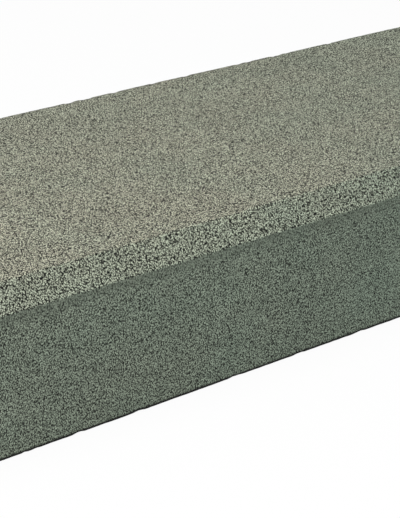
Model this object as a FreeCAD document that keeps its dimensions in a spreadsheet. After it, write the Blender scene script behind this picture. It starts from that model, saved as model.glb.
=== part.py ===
"""Concrete block step: one solid cast block for an outdoor stair, with a bevel along its front top edge.

The block lies along X. Its front face (the riser) looks along -Y, and its tread is the top face. The origin
is the middle of the base. All sizes are millimetres.
"""

import FreeCAD, Part
import os
import Sketcher

SIZES = {
    "step_length": 1000.0,  # along X, a length that block steps are sold in
    "step_depth": 350.0,  # front face to back face
    "step_rise": 150.0,  # base to tread
    "bevel_run": 20.0,  # how far the front bevel reaches back over the tread
    "bevel_drop": 20.0,  # how far it reaches down the riser
    "arris_radius": 1.5,  # the mould's easing of every edge
}
EXPORT_FOLDER = "parts"
START, END = 1, 2  # a sketch line's two ends
ORIGIN = (-1, 1)  # a sketch's own origin point


def make_sizes(doc):
    """The spreadsheet that holds the driving dimensions, one named row each."""
    sheet = doc.addObject("Spreadsheet::Sheet", "Sizes")
    for row, (alias, value) in enumerate(SIZES.items(), start=1):
        sheet.set(f"A{row}", alias)
        sheet.set(f"B{row}", str(value))
        sheet.setAlias(f"B{row}", alias)
    doc.recompute()
    return sheet


def origin_plane(body, role):
    """One of a body's own origin planes."""
    return next(f for f in body.Origin.OriginFeatures if f.Role == role)


def draw_section(body):
    """The block's cross-section on the YZ plane: a rectangle with its front top corner cut off."""
    front, back = -SIZES["step_depth"] / 2, SIZES["step_depth"] / 2
    top = SIZES["step_rise"]
    corners = {
        "base_front": (front, 0),
        "base_back": (back, 0),
        "tread_back": (back, top),
        "bevel_top": (front + SIZES["bevel_run"], top),
        "bevel_foot": (front, top - SIZES["bevel_drop"]),
    }
    sketch = body.newObject("Sketcher::SketchObject", "section")
    sketch.AttachmentSupport = [(origin_plane(body, "YZ_Plane"), "")]
    sketch.MapMode = "FlatFace"

    points = [FreeCAD.Vector(y, z, 0) for y, z in corners.values()]
    followers = points[1:] + points[:1]
    base, back_face, tread, bevel, riser = sketch.addGeometry(
        [Part.LineSegment(a, b) for a, b in zip(points, followers)]
    )
    loop = [base, back_face, tread, bevel, riser]
    for line, following in zip(loop, loop[1:] + loop[:1]):
        sketch.addConstraint(Sketcher.Constraint("Coincident", line, END, following, START))
    for level in (base, tread):
        sketch.addConstraint(Sketcher.Constraint("Horizontal", level))
    for upright in (back_face, riser):
        sketch.addConstraint(Sketcher.Constraint("Vertical", upright))
    sketch.addConstraint(Sketcher.Constraint("Symmetric", base, START, base, END, *ORIGIN))

    def drive(name, kind, *where):
        """A distance that takes its value from the spreadsheet."""
        index = sketch.addConstraint(Sketcher.Constraint(kind, *where, SIZES[name]))
        sketch.renameConstraint(index, name)
        sketch.setExpression(f"Constraints.{name}", f"Sizes.{name}")

    drive("step_depth", "DistanceX", base, START, base, END)
    drive("step_rise", "DistanceY", back_face, START, back_face, END)
    drive("bevel_run", "DistanceX", bevel, END, bevel, START)
    drive("bevel_drop", "DistanceY", bevel, END, bevel, START)
    return sketch


def make_block_step(doc):
    """The cast block: the section padded along X about its middle, with every edge slightly eased."""
    body = doc.addObject("PartDesign::Body", "block_step")
    body.Label = "block_step"

    block = body.newObject("PartDesign::Pad", "block")
    block.Profile = draw_section(body)
    block.SideType = "Symmetric"
    block.setExpression("Length", "Sizes.step_length")
    doc.recompute()

    eased = body.newObject("PartDesign::Fillet", "eased_arrises")
    eased.Base = (block, [])
    eased.UseAllEdges = True
    eased.setExpression("Radius", "Sizes.arris_radius")
    body.Tip = eased
    return body


def check_objects(doc, bodies):
    """Stops the build where an object failed, or a sub-part isn't one valid solid."""
    for item in doc.Objects:
        if "Invalid" in item.State or "Error" in item.State:
            raise RuntimeError(f"{item.Label} failed: {item.State}")
    for body in bodies:
        shape = body.Shape
        if shape.isNull() or not shape.isValid() or len(shape.Solids) != 1:
            raise RuntimeError(f"{body.Label} is not one valid solid")


def export_parts(bodies):
    """Writes each sub-part to a STEP file of its own, named after its label."""
    os.makedirs(EXPORT_FOLDER, exist_ok=True)
    for body in bodies:
        body.Shape.exportStep(os.path.join(EXPORT_FOLDER, body.Label + ".step"))
        box = body.Shape.BoundBox
        print(
            f"{body.Label}: {box.XLength:.2f} x {box.YLength:.2f} x {box.ZLength:.2f} mm, "
            f"{body.Shape.Volume / 1e6:.4f} litres, {len(body.Shape.Faces)} faces"
        )


def main():
    doc = FreeCAD.newDocument("BlockStep")
    make_sizes(doc)
    bodies = [make_block_step(doc)]
    doc.recompute()
    check_objects(doc, bodies)
    export_parts(bodies)


main()
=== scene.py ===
# %% [markdown]
# # A cast concrete block step
#
# The real thing is a single block of concrete, a metre long, that is laid as one tread of an outdoor
# stair. It comes out of a mould with flat faces, one bevel along its front top edge, and a skin of
# cement paste with fine sand in it.
#
# The CAD model already has its exact size, so this file loads it as a fixed frame and only adds what a
# plain solid can't have: worn edges, open grain, and a concrete finish.

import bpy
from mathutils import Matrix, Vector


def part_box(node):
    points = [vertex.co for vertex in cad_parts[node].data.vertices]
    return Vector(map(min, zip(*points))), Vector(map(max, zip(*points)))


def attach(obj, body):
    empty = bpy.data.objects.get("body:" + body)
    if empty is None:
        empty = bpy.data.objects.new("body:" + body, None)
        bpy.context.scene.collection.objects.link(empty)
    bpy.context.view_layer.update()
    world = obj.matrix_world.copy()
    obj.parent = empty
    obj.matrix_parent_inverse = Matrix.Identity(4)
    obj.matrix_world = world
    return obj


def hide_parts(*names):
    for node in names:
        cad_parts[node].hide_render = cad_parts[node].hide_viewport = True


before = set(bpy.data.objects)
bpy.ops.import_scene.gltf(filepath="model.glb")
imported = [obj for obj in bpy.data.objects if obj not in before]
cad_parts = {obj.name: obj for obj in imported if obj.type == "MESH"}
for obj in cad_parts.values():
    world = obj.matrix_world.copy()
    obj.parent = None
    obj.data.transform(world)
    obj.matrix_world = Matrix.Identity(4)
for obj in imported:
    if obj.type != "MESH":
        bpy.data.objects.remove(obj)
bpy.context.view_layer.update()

# %% [markdown]
# ## Sizes
#
# Blender measures in metres. The block's outer size is read from the CAD node, and only the bevel is
# written down again: it runs 20 mm back over the tread and 20 mm down the riser.
#
# The section, seen from the left end, is five straight sides. They are walked from the back top edge
# forward over the tread, down the bevel and the riser, back under the base, and up the back.

# %% The section of the block
import math

import bmesh
import bpy
import numpy as np
from mathutils import Vector

MM = 0.001
low, high = (np.array(corner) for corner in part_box("block_step"))
LENGTH, DEPTH, RISE = high - low
BEVEL = 20 * MM
FRONT, BACK, TOP = low[1], high[1], high[2]

CORNERS = np.array(
    [
        (BACK, TOP),
        (FRONT + BEVEL, TOP),
        (FRONT, TOP - BEVEL),
        (FRONT, 0.0),
        (BACK, 0.0),
    ]
)
SIDES = np.roll(CORNERS, -1, axis=0) - CORNERS
SIDE_LENGTHS = np.hypot(*SIDES.T)
ALONG = SIDES / SIDE_LENGTHS[:, None]
OUTWARD = np.stack([ALONG[:, 1], -ALONG[:, 0]], axis=1)
CORNER_AT = np.concatenate([[0.0], np.cumsum(SIDE_LENGTHS)])
print("sides of the section, mm:", (SIDE_LENGTHS / MM).round(1))
print("outward:", OUTWARD.round(2).tolist())

# %% [markdown]
# ## Noise that is the same every time
#
# Concrete is irregular at every scale, so the shape needs random numbers that belong to a place and
# don't change from one run to the next. Space is cut into small cubes, each cube corner gets a number by
# scrambling its three whole-number coordinates, and a point between them takes a smooth mix. This is
# called value noise.

# %% Value noise
def hashed(cells, seed):
    """A number from 0 to 1 for each whole-number cell: its indices are multiplied by large odd numbers,
    added, and mixed by shifts, and the lowest 24 bits are the number."""
    with np.errstate(over="ignore"):
        n = cells[..., 0] * 374761393 + cells[..., 1] * 668265263
        n = n + cells[..., 2] * 2147483629 + seed * 974634777
        n = (n ^ (n >> 13)) * 1274126177
        n = (n ^ (n >> 16)) * 2246822519
        n = n ^ (n >> 15)
    return (n & 0xFFFFFF) / float(0xFFFFFF)


def cloudy(points, cell, seed):
    """Value noise from -1 to 1 with lumps about one cell wide. A point's number is the mix of the eight
    corners round it, and along each axis the far corner's share is 3t² - 2t³."""
    scaled = points / cell
    corner = np.floor(scaled).astype(np.int64)
    t = scaled - corner
    t = t * t * (3 - 2 * t)
    total = np.zeros(points.shape[:-1])
    for step in np.ndindex(2, 2, 2):
        share = np.prod(np.where(step, t, 1 - t), axis=-1)
        total += share * hashed(corner + np.array(step), seed)
    return total * 2 - 1


sample = cloudy(np.random.default_rng(1).uniform(0, 1, (20000, 3)), 0.01, 1)
print("noise: mean", sample.mean().round(3), "spread", sample.std().round(3))


# %% [markdown]
# ## Little holes
#
# Air that the vibrating table doesn't drive out stays against the mould and leaves round holes a few
# millimetres wide. Each cube of space may hold one hole at a hashed place. Every point of the skin looks
# for holes in its own cube and the 26 around it.

# %% Air holes
def air_holes(points, cell, share, radius, seed):
    """How deep the holes are at each point, from 0 to 1. A share of the cells have a hole, whose radius is
    a third to all of the given one, and its depth falls off as (1 - d²/r²)² from its middle."""
    scaled = points / cell
    home = np.floor(scaled).astype(np.int64)
    deepest = np.zeros(points.shape[:-1])
    for step in np.ndindex(3, 3, 3):
        near = home + np.array(step) - 1
        middle = near + np.stack([hashed(near, seed + axis) for axis in range(3)], axis=-1)
        reach = radius * (0.35 + 0.65 * hashed(near, seed + 4) ** 2)
        off = ((points - middle * cell) ** 2).sum(axis=-1) / reach**2
        hole = np.clip(1 - off, 0, 1) ** 2 * (reach / radius)
        deepest = np.maximum(deepest, np.where(hashed(near, seed + 3) < share, hole, 0))
    return deepest


HOLES = dict(cell=19 * MM, share=0.30, radius=3.4 * MM, seed=35)
top_face = np.random.default_rng(2).uniform((-0.5, -0.15, 0.15), (0.5, 0.17, 0.15), (20000, 3))
print("share of the tread with a hole:", (air_holes(top_face, **HOLES) > 0).mean().round(4))


# %% [markdown]
# ## The skin as one grid
#
# The whole surface is one function of two numbers. `around` says how far round the section a point lies.
# `path` starts at the middle of the left end, goes out to its rim, along the block to the right rim, and
# in to the middle of the right end. A profile carried along a path like this needs no joins between
# faces: only the first and last column meet, and each end closes in a single point.
#
# The rows and columns are closer together beside every edge, because the rounding there is small.

# %% Where the rows and columns lie
def graded(length, pitch, fine, count):
    """Places from 0 to length: count steps of the fine size at each end, and even steps of about the
    given pitch between them."""
    edge = np.arange(count) * fine
    middle = length - 2 * count * fine
    inner = count * fine + np.linspace(0, middle, max(2, round(middle / pitch) + 1))
    return np.concatenate([edge, inner, (length - edge)[::-1]])


# Each side's pitch in mm, the fine pitch beside its edges, and how many fine steps there are. The sides
# are the tread, the bevel, the riser, the base and the back.
PITCHES = [(3.3, 0.8, 5), (1.35, 0.8, 2), (3.1, 0.8, 5), (14.0, 1.2, 4), (5.0, 0.8, 5)]
around = np.concatenate(
    [
        start + graded(length, pitch * MM, fine * MM, count)[:-1]
        for start, length, (pitch, fine, count) in zip(CORNER_AT, SIDE_LENGTHS, PITCHES)
    ]
)
stations = graded(LENGTH, 3.05 * MM, 0.8 * MM, 5)
fine_rings = np.arange(5) * 0.8 * MM / (RISE / 2)
rings = np.concatenate([fine_rings, np.linspace(fine_rings[-1], 1, 21)[1:]])
path = np.concatenate([-rings[::-1], stations[1:-1] / LENGTH, 1 + rings])
print(len(around), "columns by", len(path), "rows:", 2 * len(around) * len(path), "triangles")


# %% [markdown]
# ## A sharp block first
#
# The simplest shape these two numbers can give is the block with perfectly sharp edges. It is worked out
# first, because every later step only moves its points a little.

# %% The sharp block
def sharp_skin(path, around):
    """Points of the block with perfectly sharp edges. path from 0 to 1 is the way from the left end to the
    right end, and beyond that the section shrinks towards the middle of the end face, to a point at -1 and
    at 2."""
    side = np.clip(np.searchsorted(CORNER_AT, around, side="right") - 1, 0, 4)
    section = CORNERS[side] + ALONG[side] * (around - CORNER_AT[side])[..., None]
    middle = np.array([0.0, RISE / 2])
    drawn = 1 - np.maximum(np.maximum(-path, path - 1), 0)
    section = middle + (section - middle) * drawn[..., None]
    x = (np.clip(path, 0, 1) - 0.5) * LENGTH
    return np.concatenate([x[..., None], section], axis=-1)


# %% [markdown]
# ## Worn edges
#
# A mould edge is never quite sharp, and handling breaks it down further. To round every edge at once, the
# block is thought of as a smaller block with a ball rolled over it: each point finds the nearest point of
# the smaller block, and is then put one ball's radius away from it. Because the radius changes slowly
# along the block, the edge wanders as a real one does.

# %% Rounding with a rolling ball
MITRES = []
for k in range(5):
    before, after = OUTWARD[k - 1], OUTWARD[k]
    MITRES.append((before + after) / (1 + before @ after))
MITRES = np.array(MITRES)


def nearest_inside(section, radius):
    """The nearest point of the section shrunk by the radius. Inside it that is the point itself, and
    outside it is the nearest of the five shrunk sides."""
    inside = np.ones(section.shape[:-1], bool)
    best = np.full(section.shape[:-1], np.inf)
    found = section.copy()
    for k in range(5):
        inside &= (section - CORNERS[k]) @ OUTWARD[k] <= -radius
        a = CORNERS[k] - MITRES[k] * radius[..., None]
        b = CORNERS[(k + 1) % 5] - MITRES[(k + 1) % 5] * radius[..., None]
        run = b - a
        t = ((section - a) * run).sum(-1) / (run**2).sum(-1)
        on_side = a + run * np.clip(t, 0, 1)[..., None]
        gap = ((section - on_side) ** 2).sum(-1)
        found = np.where((gap < best)[..., None], on_side, found)
        best = np.minimum(best, gap)
    return np.where(inside[..., None], section, found)


def rolled(points, radius):
    """The points moved onto a ball of the given radius rolled over the shrunk block, and the direction
    that faces outwards there."""
    core = points.copy()
    core[..., 0] = np.clip(points[..., 0], -LENGTH / 2 + radius, LENGTH / 2 - radius)
    core[..., 1:] = nearest_inside(points[..., 1:], radius)
    outward = points - core
    outward /= np.linalg.norm(outward, axis=-1, keepdims=True)
    return core + outward * radius[..., None], outward


def edge_radius(points):
    """The ball's radius at each point: 1.1 mm, and twice that on the upper edge of the bevel, where feet
    land. Wear in patches some 30 mm and 9 mm long makes it larger or smaller."""
    wear = 0.6 * cloudy(points, 31 * MM, 11) + 0.4 * cloudy(points, 9 * MM, 12)
    off = np.hypot(points[..., 1] - CORNERS[1, 0], points[..., 2] - CORNERS[1, 1])
    trodden = np.clip(1.7 - off / (9 * MM), 0, 1)
    return (1.1 + 0.5 * wear + trodden * (1.1 + 0.7 * wear)) * MM


upper_edge = np.linspace((-0.5, *CORNERS[1]), (0.5, *CORNERS[1]), 400)
radii = edge_radius(upper_edge) / MM
print("radius along the upper edge of the bevel, mm:", radii.min().round(2), "to", radii.max().round(2))


# %% [markdown]
# ## Relief
#
# The faces aren't flat either. A long, faint wave comes from the mould, lumps a centimetre wide come from
# the way the mix settled, and the sand makes the finest roughness. The bevel's face is rougher: there the
# paste drained away and left the sand open. Along the edges, knocks in the yard have nibbled small chips
# out of the concrete. All relief goes inwards, so the block never outgrows its CAD size.

# %% How far the skin is sunk
def on_bevel(points):
    """1 on the bevel and 0 away from it. Its upper border is ragged and fades out over 3 mm of the tread,
    and its lower border is crisp."""
    ragged = (1.6 * cloudy(points, 7 * MM, 21) + 1.2 * cloudy(points, 23 * MM, 22)) * MM
    past_upper = (points[..., 1] - CORNERS[1, 0] + ragged) / (3 * MM)
    past_lower = (CORNERS[2, 1] - points[..., 2]) / (1 * MM)
    near = 1 - np.clip(np.maximum(past_upper, past_lower), 0, 1)
    return near * near * (3 - 2 * near)


def relief(points):
    """Depth of the skin below the rolled surface, in metres: the sum of a 110 mm wave, 16 mm lumps, two
    sizes of grain, and air holes."""
    open_sand = on_bevel(points)
    wave = 0.5 + 0.5 * cloudy(points, 110 * MM, 31)
    lumps = 0.5 + 0.5 * cloudy(points, 16 * MM, 32)
    grain = 0.5 + 0.35 * cloudy(points, 6.5 * MM, 33) + 0.65 * cloudy(points, 3.2 * MM, 34)
    holes = air_holes(points, **HOLES)
    depth = 0.22 * wave + 0.16 * lumps + (0.20 + 0.05 * open_sand) * np.clip(grain, 0, 1)
    return (depth + 1.1 * holes) * MM


def chips(points, count=170):
    """Depth of the places where an edge has been knocked: shallow bowls 4 to 12 mm across, centred on
    points picked at random along the five long edges."""
    rng = np.random.default_rng(8)
    side = rng.integers(0, 5, count)
    x = rng.uniform(-0.5, 0.5, count) * LENGTH
    bowls = np.column_stack([x, CORNERS[side]])
    reach = rng.uniform(1.6, 4.2, count) * MM
    deep = reach * rng.uniform(0.12, 0.30, count)
    depth = np.zeros(points.shape[:-1])
    for centre, r, most in zip(bowls, reach, deep):
        off = ((points - centre) ** 2).sum(-1) / (2 * r**2)
        depth = np.maximum(depth, most * np.clip(1 - off, 0, 1))
    return depth


def block_skin(path, around):
    """The finished skin at these two numbers: the rolled block, with relief and chips sunk into it."""
    sharp = sharp_skin(path, around)
    rounded, outward = rolled(sharp, edge_radius(sharp))
    sunk = relief(rounded) + chips(rounded)
    return rounded - outward * sunk[..., None]


print("relief on the tread, mm: up to", (relief(top_face).max() / MM).round(2))


# %% [markdown]
# ## From grid to mesh
#
# The rows and columns become vertices, and each cell of the grid a face with four corners. At the two
# ends all the points of the last row lie in one place, and merging doubles makes them one vertex, which
# closes the pole.

# %% Build the block
def grid_faces(rows, columns):
    """The four corner numbers of every cell of a grid whose last column joins its first."""
    here = np.arange(rows * columns).reshape(rows, columns)
    right = np.roll(here, -1, axis=1)
    return np.stack([here[:-1], right[:-1], right[1:], here[1:]], axis=-1).reshape(-1, 4)


def solid_from(name, vertices, faces):
    """A mesh object from arrays, with doubles merged, normals outwards and smooth shading."""
    mesh = bpy.data.meshes.new(name)
    mesh.from_pydata(vertices, [], faces.tolist())
    work = bmesh.new()
    work.from_mesh(mesh)
    bmesh.ops.remove_doubles(work, verts=work.verts, dist=1e-6)
    bmesh.ops.recalc_face_normals(work, faces=work.faces)
    work.to_mesh(mesh)
    work.free()
    mesh.polygons.foreach_set("use_smooth", np.ones(len(mesh.polygons), bool))
    thing = bpy.data.objects.new(name, mesh)
    bpy.context.scene.collection.objects.link(thing)
    return thing


skin = block_skin(*np.meshgrid(path, around, indexing="ij"))
cast_block = solid_from("cast_block", skin.reshape(-1, 3), grid_faces(*skin.shape[:2]))
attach(cast_block, "root")
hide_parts("block_step")
print("cast_block:", len(cast_block.data.vertices), "vertices,", len(cast_block.data.polygons), "faces")

# %% [markdown]
# ## Four facts painted on the skin
#
# The finish isn't the same all over. Faces that look up are given a warmer, slightly paler grey. The bevel
# shows more sand. Just below it paste has gathered along the inside corner of the mould, and the skin is
# smoother and a little darker. Shade is painted into the colour along the edges of the box. It is
# strongest along the base, where it stands for the shadow gap under the foot, and a quarter as strong
# along the other edges. Each vertex carries these four facts as numbers from 0 to 1, and the material
# reads them by name.

# %% Attributes for the finish
def store(thing, name, values):
    """Stores one number per vertex under the given name."""
    layer = thing.data.attributes.new(name, "FLOAT", "POINT")
    layer.data.foreach_set("value", values.astype(np.float32))


def coordinates(thing):
    """The vertices as an array of rows of three."""
    flat = np.empty(len(thing.data.vertices) * 3)
    thing.data.vertices.foreach_get("co", flat)
    return flat.reshape(-1, 3)


def upwards(thing):
    """How far each vertex looks up: the upward part of its normal to the power 1.5, which is 1 on the
    tread, about 0.6 on the bevel and 0 on the upright faces."""
    flat = np.empty(len(thing.data.vertices) * 3)
    thing.data.vertices.foreach_get("normal", flat)
    return np.clip(flat[2::3], 0, 1) ** 1.5


def painted_edge_shade(points):
    """How much painted shade an edge gets, from 0 to 1. Only beside an edge of the outer box are a point's
    two nearest faces of it both within a few millimetres, so the bevel's edges are left out. The edges of
    the base carry the painted shadow gap under the foot and are fully dark, and all others get a quarter
    of it."""
    half = np.array([LENGTH, DEPTH, RISE]) / 2
    from_middle = np.abs(points - np.array([0, 0, RISE / 2]))
    second = np.sort(half - from_middle, axis=1)[:, 1]
    near = np.clip((3.5 * MM - second) / (1.3 * MM), 0, 1)
    on_base = np.clip(2 - points[:, 2] / (4 * MM), 0, 1)
    return near * (0.25 + 0.75 * on_base)


def paste_band(points):
    """1 on the riser just below the bevel, fading out 14 mm further down, and 0 everywhere else."""
    below = (CORNERS[2, 1] - points[:, 2]) / MM
    band = np.clip(below, 0, 1) * np.clip(1.2 - below / 12, 0, 1)
    return np.where(points[:, 1] < FRONT + 3 * MM, band, 0)


where = coordinates(cast_block)
store(cast_block, "painted_edge_shade", painted_edge_shade(where))
store(cast_block, "looks_up", upwards(cast_block))
store(cast_block, "open_sand", on_bevel(where))
store(cast_block, "paste_band", paste_band(where))
print("open sand covers", on_bevel(where).mean().round(3), "of the vertices")

# %% [markdown]
# ## Concrete, grain by grain
#
# Seen close, the skin is grains of sand 1 to 2 mm wide, each its own shade, with darker paste and pores
# between them. A Voronoi texture cuts space into cells of that size. Each cell's random colour gives a
# grain its shade, and the distance from the cell's middle, squared, gives the dark gap round it. Slow
# noise over several centimetres drifts between a warm and a green grey, as the damp in the block does, and
# the block is greener towards its right end.
#
# An image could carry all this, but a texture worked out from the place in space has no seams and wraps
# round every edge. The same grains drive the bump, so light and colour agree.

# %% A helper for nodes
def add_node(tree, kind, **settings):
    """Adds a node of this kind. A setting whose name is one of its inputs is put on that socket, and any
    other is a property of the node."""
    made = tree.nodes.new(kind)
    for name, value in settings.items():
        socket = made.inputs.get(name)
        if socket is None:
            setattr(made, name, value)
        elif isinstance(value, bpy.types.NodeSocket):
            tree.links.new(value, socket)
        else:
            socket.default_value = value
    return made


def maths(tree, operation, *values):
    """A Math node's result. Each value is a number or another node's output."""
    made = tree.nodes.new("ShaderNodeMath")
    made.operation = operation
    for socket, value in zip(made.inputs, values):
        if isinstance(value, bpy.types.NodeSocket):
            tree.links.new(value, socket)
        else:
            socket.default_value = value
    return made.outputs[0]


def blended(tree, share, first, second, mode="MIX"):
    """A Mix node for colours: the first colour where share is 0 and the second where it is 1."""
    made = tree.nodes.new("ShaderNodeMix")
    made.data_type = "RGBA"
    made.blend_type = mode
    for number, value in ((0, share), (6, first), (7, second)):
        if isinstance(value, bpy.types.NodeSocket):
            tree.links.new(value, made.inputs[number])
        else:
            made.inputs[number].default_value = value
    return made.outputs[2]


def summed(tree, start, *terms):
    """start plus each fact times its weight, as a chain of Multiply Add nodes."""
    total = start
    for fact, weight in terms:
        total = maths(tree, "MULTIPLY_ADD", fact, weight, total)
    return total


print("a node, a sum, a mix and a chain of sums each have a helper")

# %% [markdown]
# ## The recipe
#
# First come the numbers of the mix. The speckle of a point is its grain's shade less the depth of the gap,
# and lies around zero. The contrast says how strongly the speckle shows on each kind of face: most on the
# tread, less on the bevel and least on the upright faces. The tone is one plus speckle times contrast,
# raised to a power and scaled to the right level.

# %% Mix the concrete
GRAIN = 1.35 * MM
SQUEEZE = (1.25, 1.0, 0.85)
SHADE_SPREAD, SHADE_LIFT = 0.45, 0.53
GAP_REACH, GAP_DEPTH = 0.62, 1.1
TONE_POWER, TONE_LEVEL, TONE_LEAST = 2.2, 0.84, 0.15
EDGE_PAINTED_SHADE = 0.97
DRIFT_SIZE, CLOUD_SIZE = 60 * MM, 90 * MM
TREAD_GREY = (0.2005, 0.2085, 0.1605, 1)
SIDE_GREY = (0.171, 0.2075, 0.162, 1)
WARM = (1.03, 0.995, 0.99, 1)
GREEN = (0.955, 1.0, 1.0, 1)


def concrete(name):
    """The concrete material: shade per grain times face colour, and a bump from the same grains."""
    material = bpy.data.materials.new(name)
    material.use_nodes = True
    tree = material.node_tree
    tree.nodes.clear()
    place = add_node(tree, "ShaderNodeTexCoord").outputs["Object"]
    looks_up, open_sand, paste, edge = (
        add_node(tree, "ShaderNodeAttribute", attribute_name=fact).outputs["Fac"]
        for fact in ("looks_up", "open_sand", "paste_band", "painted_edge_shade")
    )

    squeezed = add_node(tree, "ShaderNodeMapping", Vector=place, Scale=SQUEEZE).outputs[0]
    grains = add_node(tree, "ShaderNodeTexVoronoi", Vector=squeezed, Scale=1 / GRAIN)
    shade = add_node(tree, "ShaderNodeSeparateColor", Color=grains.outputs["Color"]).outputs[0]
    gap = maths(tree, "POWER", maths(tree, "DIVIDE", grains.outputs["Distance"], GAP_REACH), 2.0)
    drift = add_node(tree, "ShaderNodeTexNoise", Vector=place, Scale=1 / DRIFT_SIZE, Detail=3.0)
    cloud = add_node(tree, "ShaderNodeTexNoise", Vector=place, Scale=1 / CLOUD_SIZE, Detail=2.0)

    speckle = maths(tree, "MULTIPLY_ADD", shade, SHADE_SPREAD, SHADE_LIFT)
    speckle = maths(tree, "SUBTRACT", speckle, maths(tree, "MULTIPLY", gap, GAP_DEPTH))
    contrast = summed(tree, 0.75, (open_sand, -0.03), (looks_up, 0.56), (paste, -0.35))
    tone = maths(tree, "MULTIPLY_ADD", speckle, contrast, 1.0)
    tone = maths(tree, "POWER", maths(tree, "MAXIMUM", tone, TONE_LEAST), TONE_POWER)
    tone = maths(tree, "MULTIPLY", tone, TONE_LEVEL)
    slow = summed(tree, 0.92, (cloud.outputs["Fac"], 0.16), (open_sand, 0.02), (paste, -0.07))
    tone = maths(tree, "MULTIPLY", tone, slow)
    # Painted shade along the edges of the box, darkest along the base, where it stands for the shadow gap
    # under the foot.
    tone = maths(tree, "MULTIPLY", tone, maths(tree, "MULTIPLY_ADD", edge, -EDGE_PAINTED_SHADE, 1.0))

    # Faces that look up get a warmer, slightly paler grey than the upright faces.
    face = blended(tree, looks_up, SIDE_GREY, TREAD_GREY)
    across = add_node(tree, "ShaderNodeSeparateXYZ", Vector=place).outputs["X"]
    damp = summed(tree, -0.3, (drift.outputs["Fac"], 1.6), (across, 1.3), (open_sand, 0.35))
    share = add_node(tree, "ShaderNodeClamp", Value=damp).outputs[0]
    tint = blended(tree, share, WARM, GREEN)
    colour = blended(tree, 1.0, face, tint, "MULTIPLY")
    grey = add_node(tree, "ShaderNodeCombineColor", Red=tone, Green=tone, Blue=tone).outputs[0]
    colour = blended(tree, 1.0, colour, grey, "MULTIPLY")

    bump = add_node(tree, "ShaderNodeBump", Height=speckle, Strength=0.5, Distance=0.5 * MM)
    shader = add_node(tree, "ShaderNodeBsdfPrincipled", Roughness=0.92, Normal=bump.outputs[0])
    shader.inputs["Specular IOR Level"].default_value = 0.25
    tree.links.new(colour, shader.inputs["Base Color"])
    end = add_node(tree, "ShaderNodeOutputMaterial")
    tree.links.new(shader.outputs[0], end.inputs["Surface"])
    return material


cast_block.data.materials.append(concrete("cast_concrete"))
print("cast_concrete:", len(cast_block.data.materials[0].node_tree.nodes), "nodes")

# %% [markdown]
# ## The floor
#
# The block lies on a plain pale floor that runs out to a white background. To a camera ray the floor is
# nearly all its own white, mixed with a little plain diffuse that still takes the block's shadow. To all
# other rays it is a pale matte surface that sends light up on to the riser.

# %% Floor
def seen_directly(tree):
    """1 for rays from the camera, from a glossy surface or through glass, and 0 for all others."""
    light_path = tree.nodes.new("ShaderNodeLightPath").outputs
    seen = maths(tree, "MAXIMUM", light_path["Is Camera Ray"], light_path["Is Glossy Ray"])
    return maths(tree, "MAXIMUM", seen, light_path["Is Transmission Ray"])


FLOOR_HALF = 60.0
floor_mesh = bpy.data.meshes.new("floor")
square = np.array([(-1, -1, 0), (1, -1, 0), (1, 1, 0), (-1, 1, 0)]) * FLOOR_HALF
floor_mesh.from_pydata(square, [], [(0, 1, 2, 3)])
floor = bpy.data.objects.new("floor", floor_mesh)
bpy.context.scene.collection.objects.link(floor)

paint = bpy.data.materials.new("pale_floor")
paint.use_nodes = True
tree = paint.node_tree
tree.nodes.clear()
seen = seen_directly(tree)
grey = blended(tree, seen, (0.82, 0.82, 0.82, 1), (0.90, 0.90, 0.90, 1))
matte = add_node(tree, "ShaderNodeBsdfDiffuse", Color=grey)
white = add_node(tree, "ShaderNodeEmission", Strength=1.0)
mix = add_node(tree, "ShaderNodeMixShader")
tree.links.new(maths(tree, "MULTIPLY", seen, 0.92), mix.inputs[0])
tree.links.new(matte.outputs[0], mix.inputs[1])
tree.links.new(white.outputs[0], mix.inputs[2])
tree.links.new(mix.outputs[0], add_node(tree, "ShaderNodeOutputMaterial").inputs["Surface"])
floor_mesh.materials.append(paint)
print("floor:", 2 * FLOOR_HALF, "m wide")

# %% [markdown]
# ## The sky
#
# An even white sky lights every side alike. Rays from the camera see it at full white, and the light that
# it gives is half of that, which leaves room for the lamp.

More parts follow.
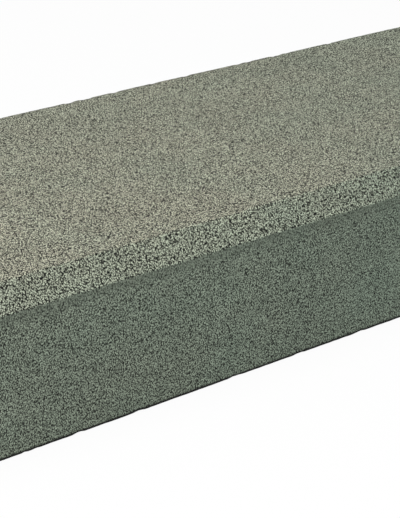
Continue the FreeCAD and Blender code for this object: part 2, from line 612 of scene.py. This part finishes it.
# %% Sky
SKY_LEVEL = 0.5
world = bpy.data.worlds.new("sky")
bpy.context.scene.world = world
world.use_nodes = True
tree = world.node_tree
tree.nodes.clear()
level = maths(tree, "MULTIPLY_ADD", seen_directly(tree), 1 - SKY_LEVEL, SKY_LEVEL)
sky = add_node(tree, "ShaderNodeBackground", Color=(1, 1, 1, 1), Strength=level)
tree.links.new(sky.outputs[0], add_node(tree, "ShaderNodeOutputWorld").inputs["Surface"])
print("sky level:", SKY_LEVEL)

# %% [markdown]
# ## The lamp
#
# One large soft lamp stands high at the front left. With the sky it gives the tread, the bevel and the
# riser three clearly different levels, with no hard shadow, and the tread fades a little to the far right.

# %% Lamp
def aimed(thing, place, target):
    """Puts a lamp or camera at a place, looking at a target with no roll."""
    thing.location = place
    thing.rotation_euler = (Vector(target) - Vector(place)).to_track_quat("-Z", "Y").to_euler()
    bpy.context.scene.collection.objects.link(thing)


lamp_data = bpy.data.lights.new("soft_lamp", "AREA")
lamp_data.shape = "DISK"
lamp_data.size = 2.4
lamp_data.energy = 57.0
soft_lamp = bpy.data.objects.new("soft_lamp", lamp_data)
aimed(soft_lamp, (-1.3, -0.5, 2.3), (0, 0, 0.1))
soft_lamp.visible_camera = False
print("lamp:", lamp_data.energy, "W,", round(lamp_data.size, 2), "m wide")

# %% [markdown]
# ## The camera
#
# The camera stands in front of the left part of the block, a little above it, and looks along the tread to
# the right. It is close enough for both ends to be out of the picture. Its direction is two angles: how
# far it turns to the right of straight back, and how far it looks down.

# %% Camera
camera_data = bpy.data.cameras.new("camera")
camera_data.lens = 108.0
camera_data.sensor_width = 36.0
camera = bpy.data.objects.new("camera", camera_data)
EYE = Vector((-0.865, -1.1423, 0.6904))
TURN, PITCH = math.radians(35.595), math.radians(25.311)
LEVEL = Vector((math.sin(TURN), math.cos(TURN), 0)) * math.cos(PITCH)
aimed(camera, EYE, EYE + LEVEL - Vector((0, 0, math.sin(PITCH))))
bpy.context.scene.camera = camera
bpy.context.scene.view_settings.view_transform = "Standard"
print("camera at", tuple(round(x, 3) for x in EYE), "with a", camera_data.lens, "mm lens")
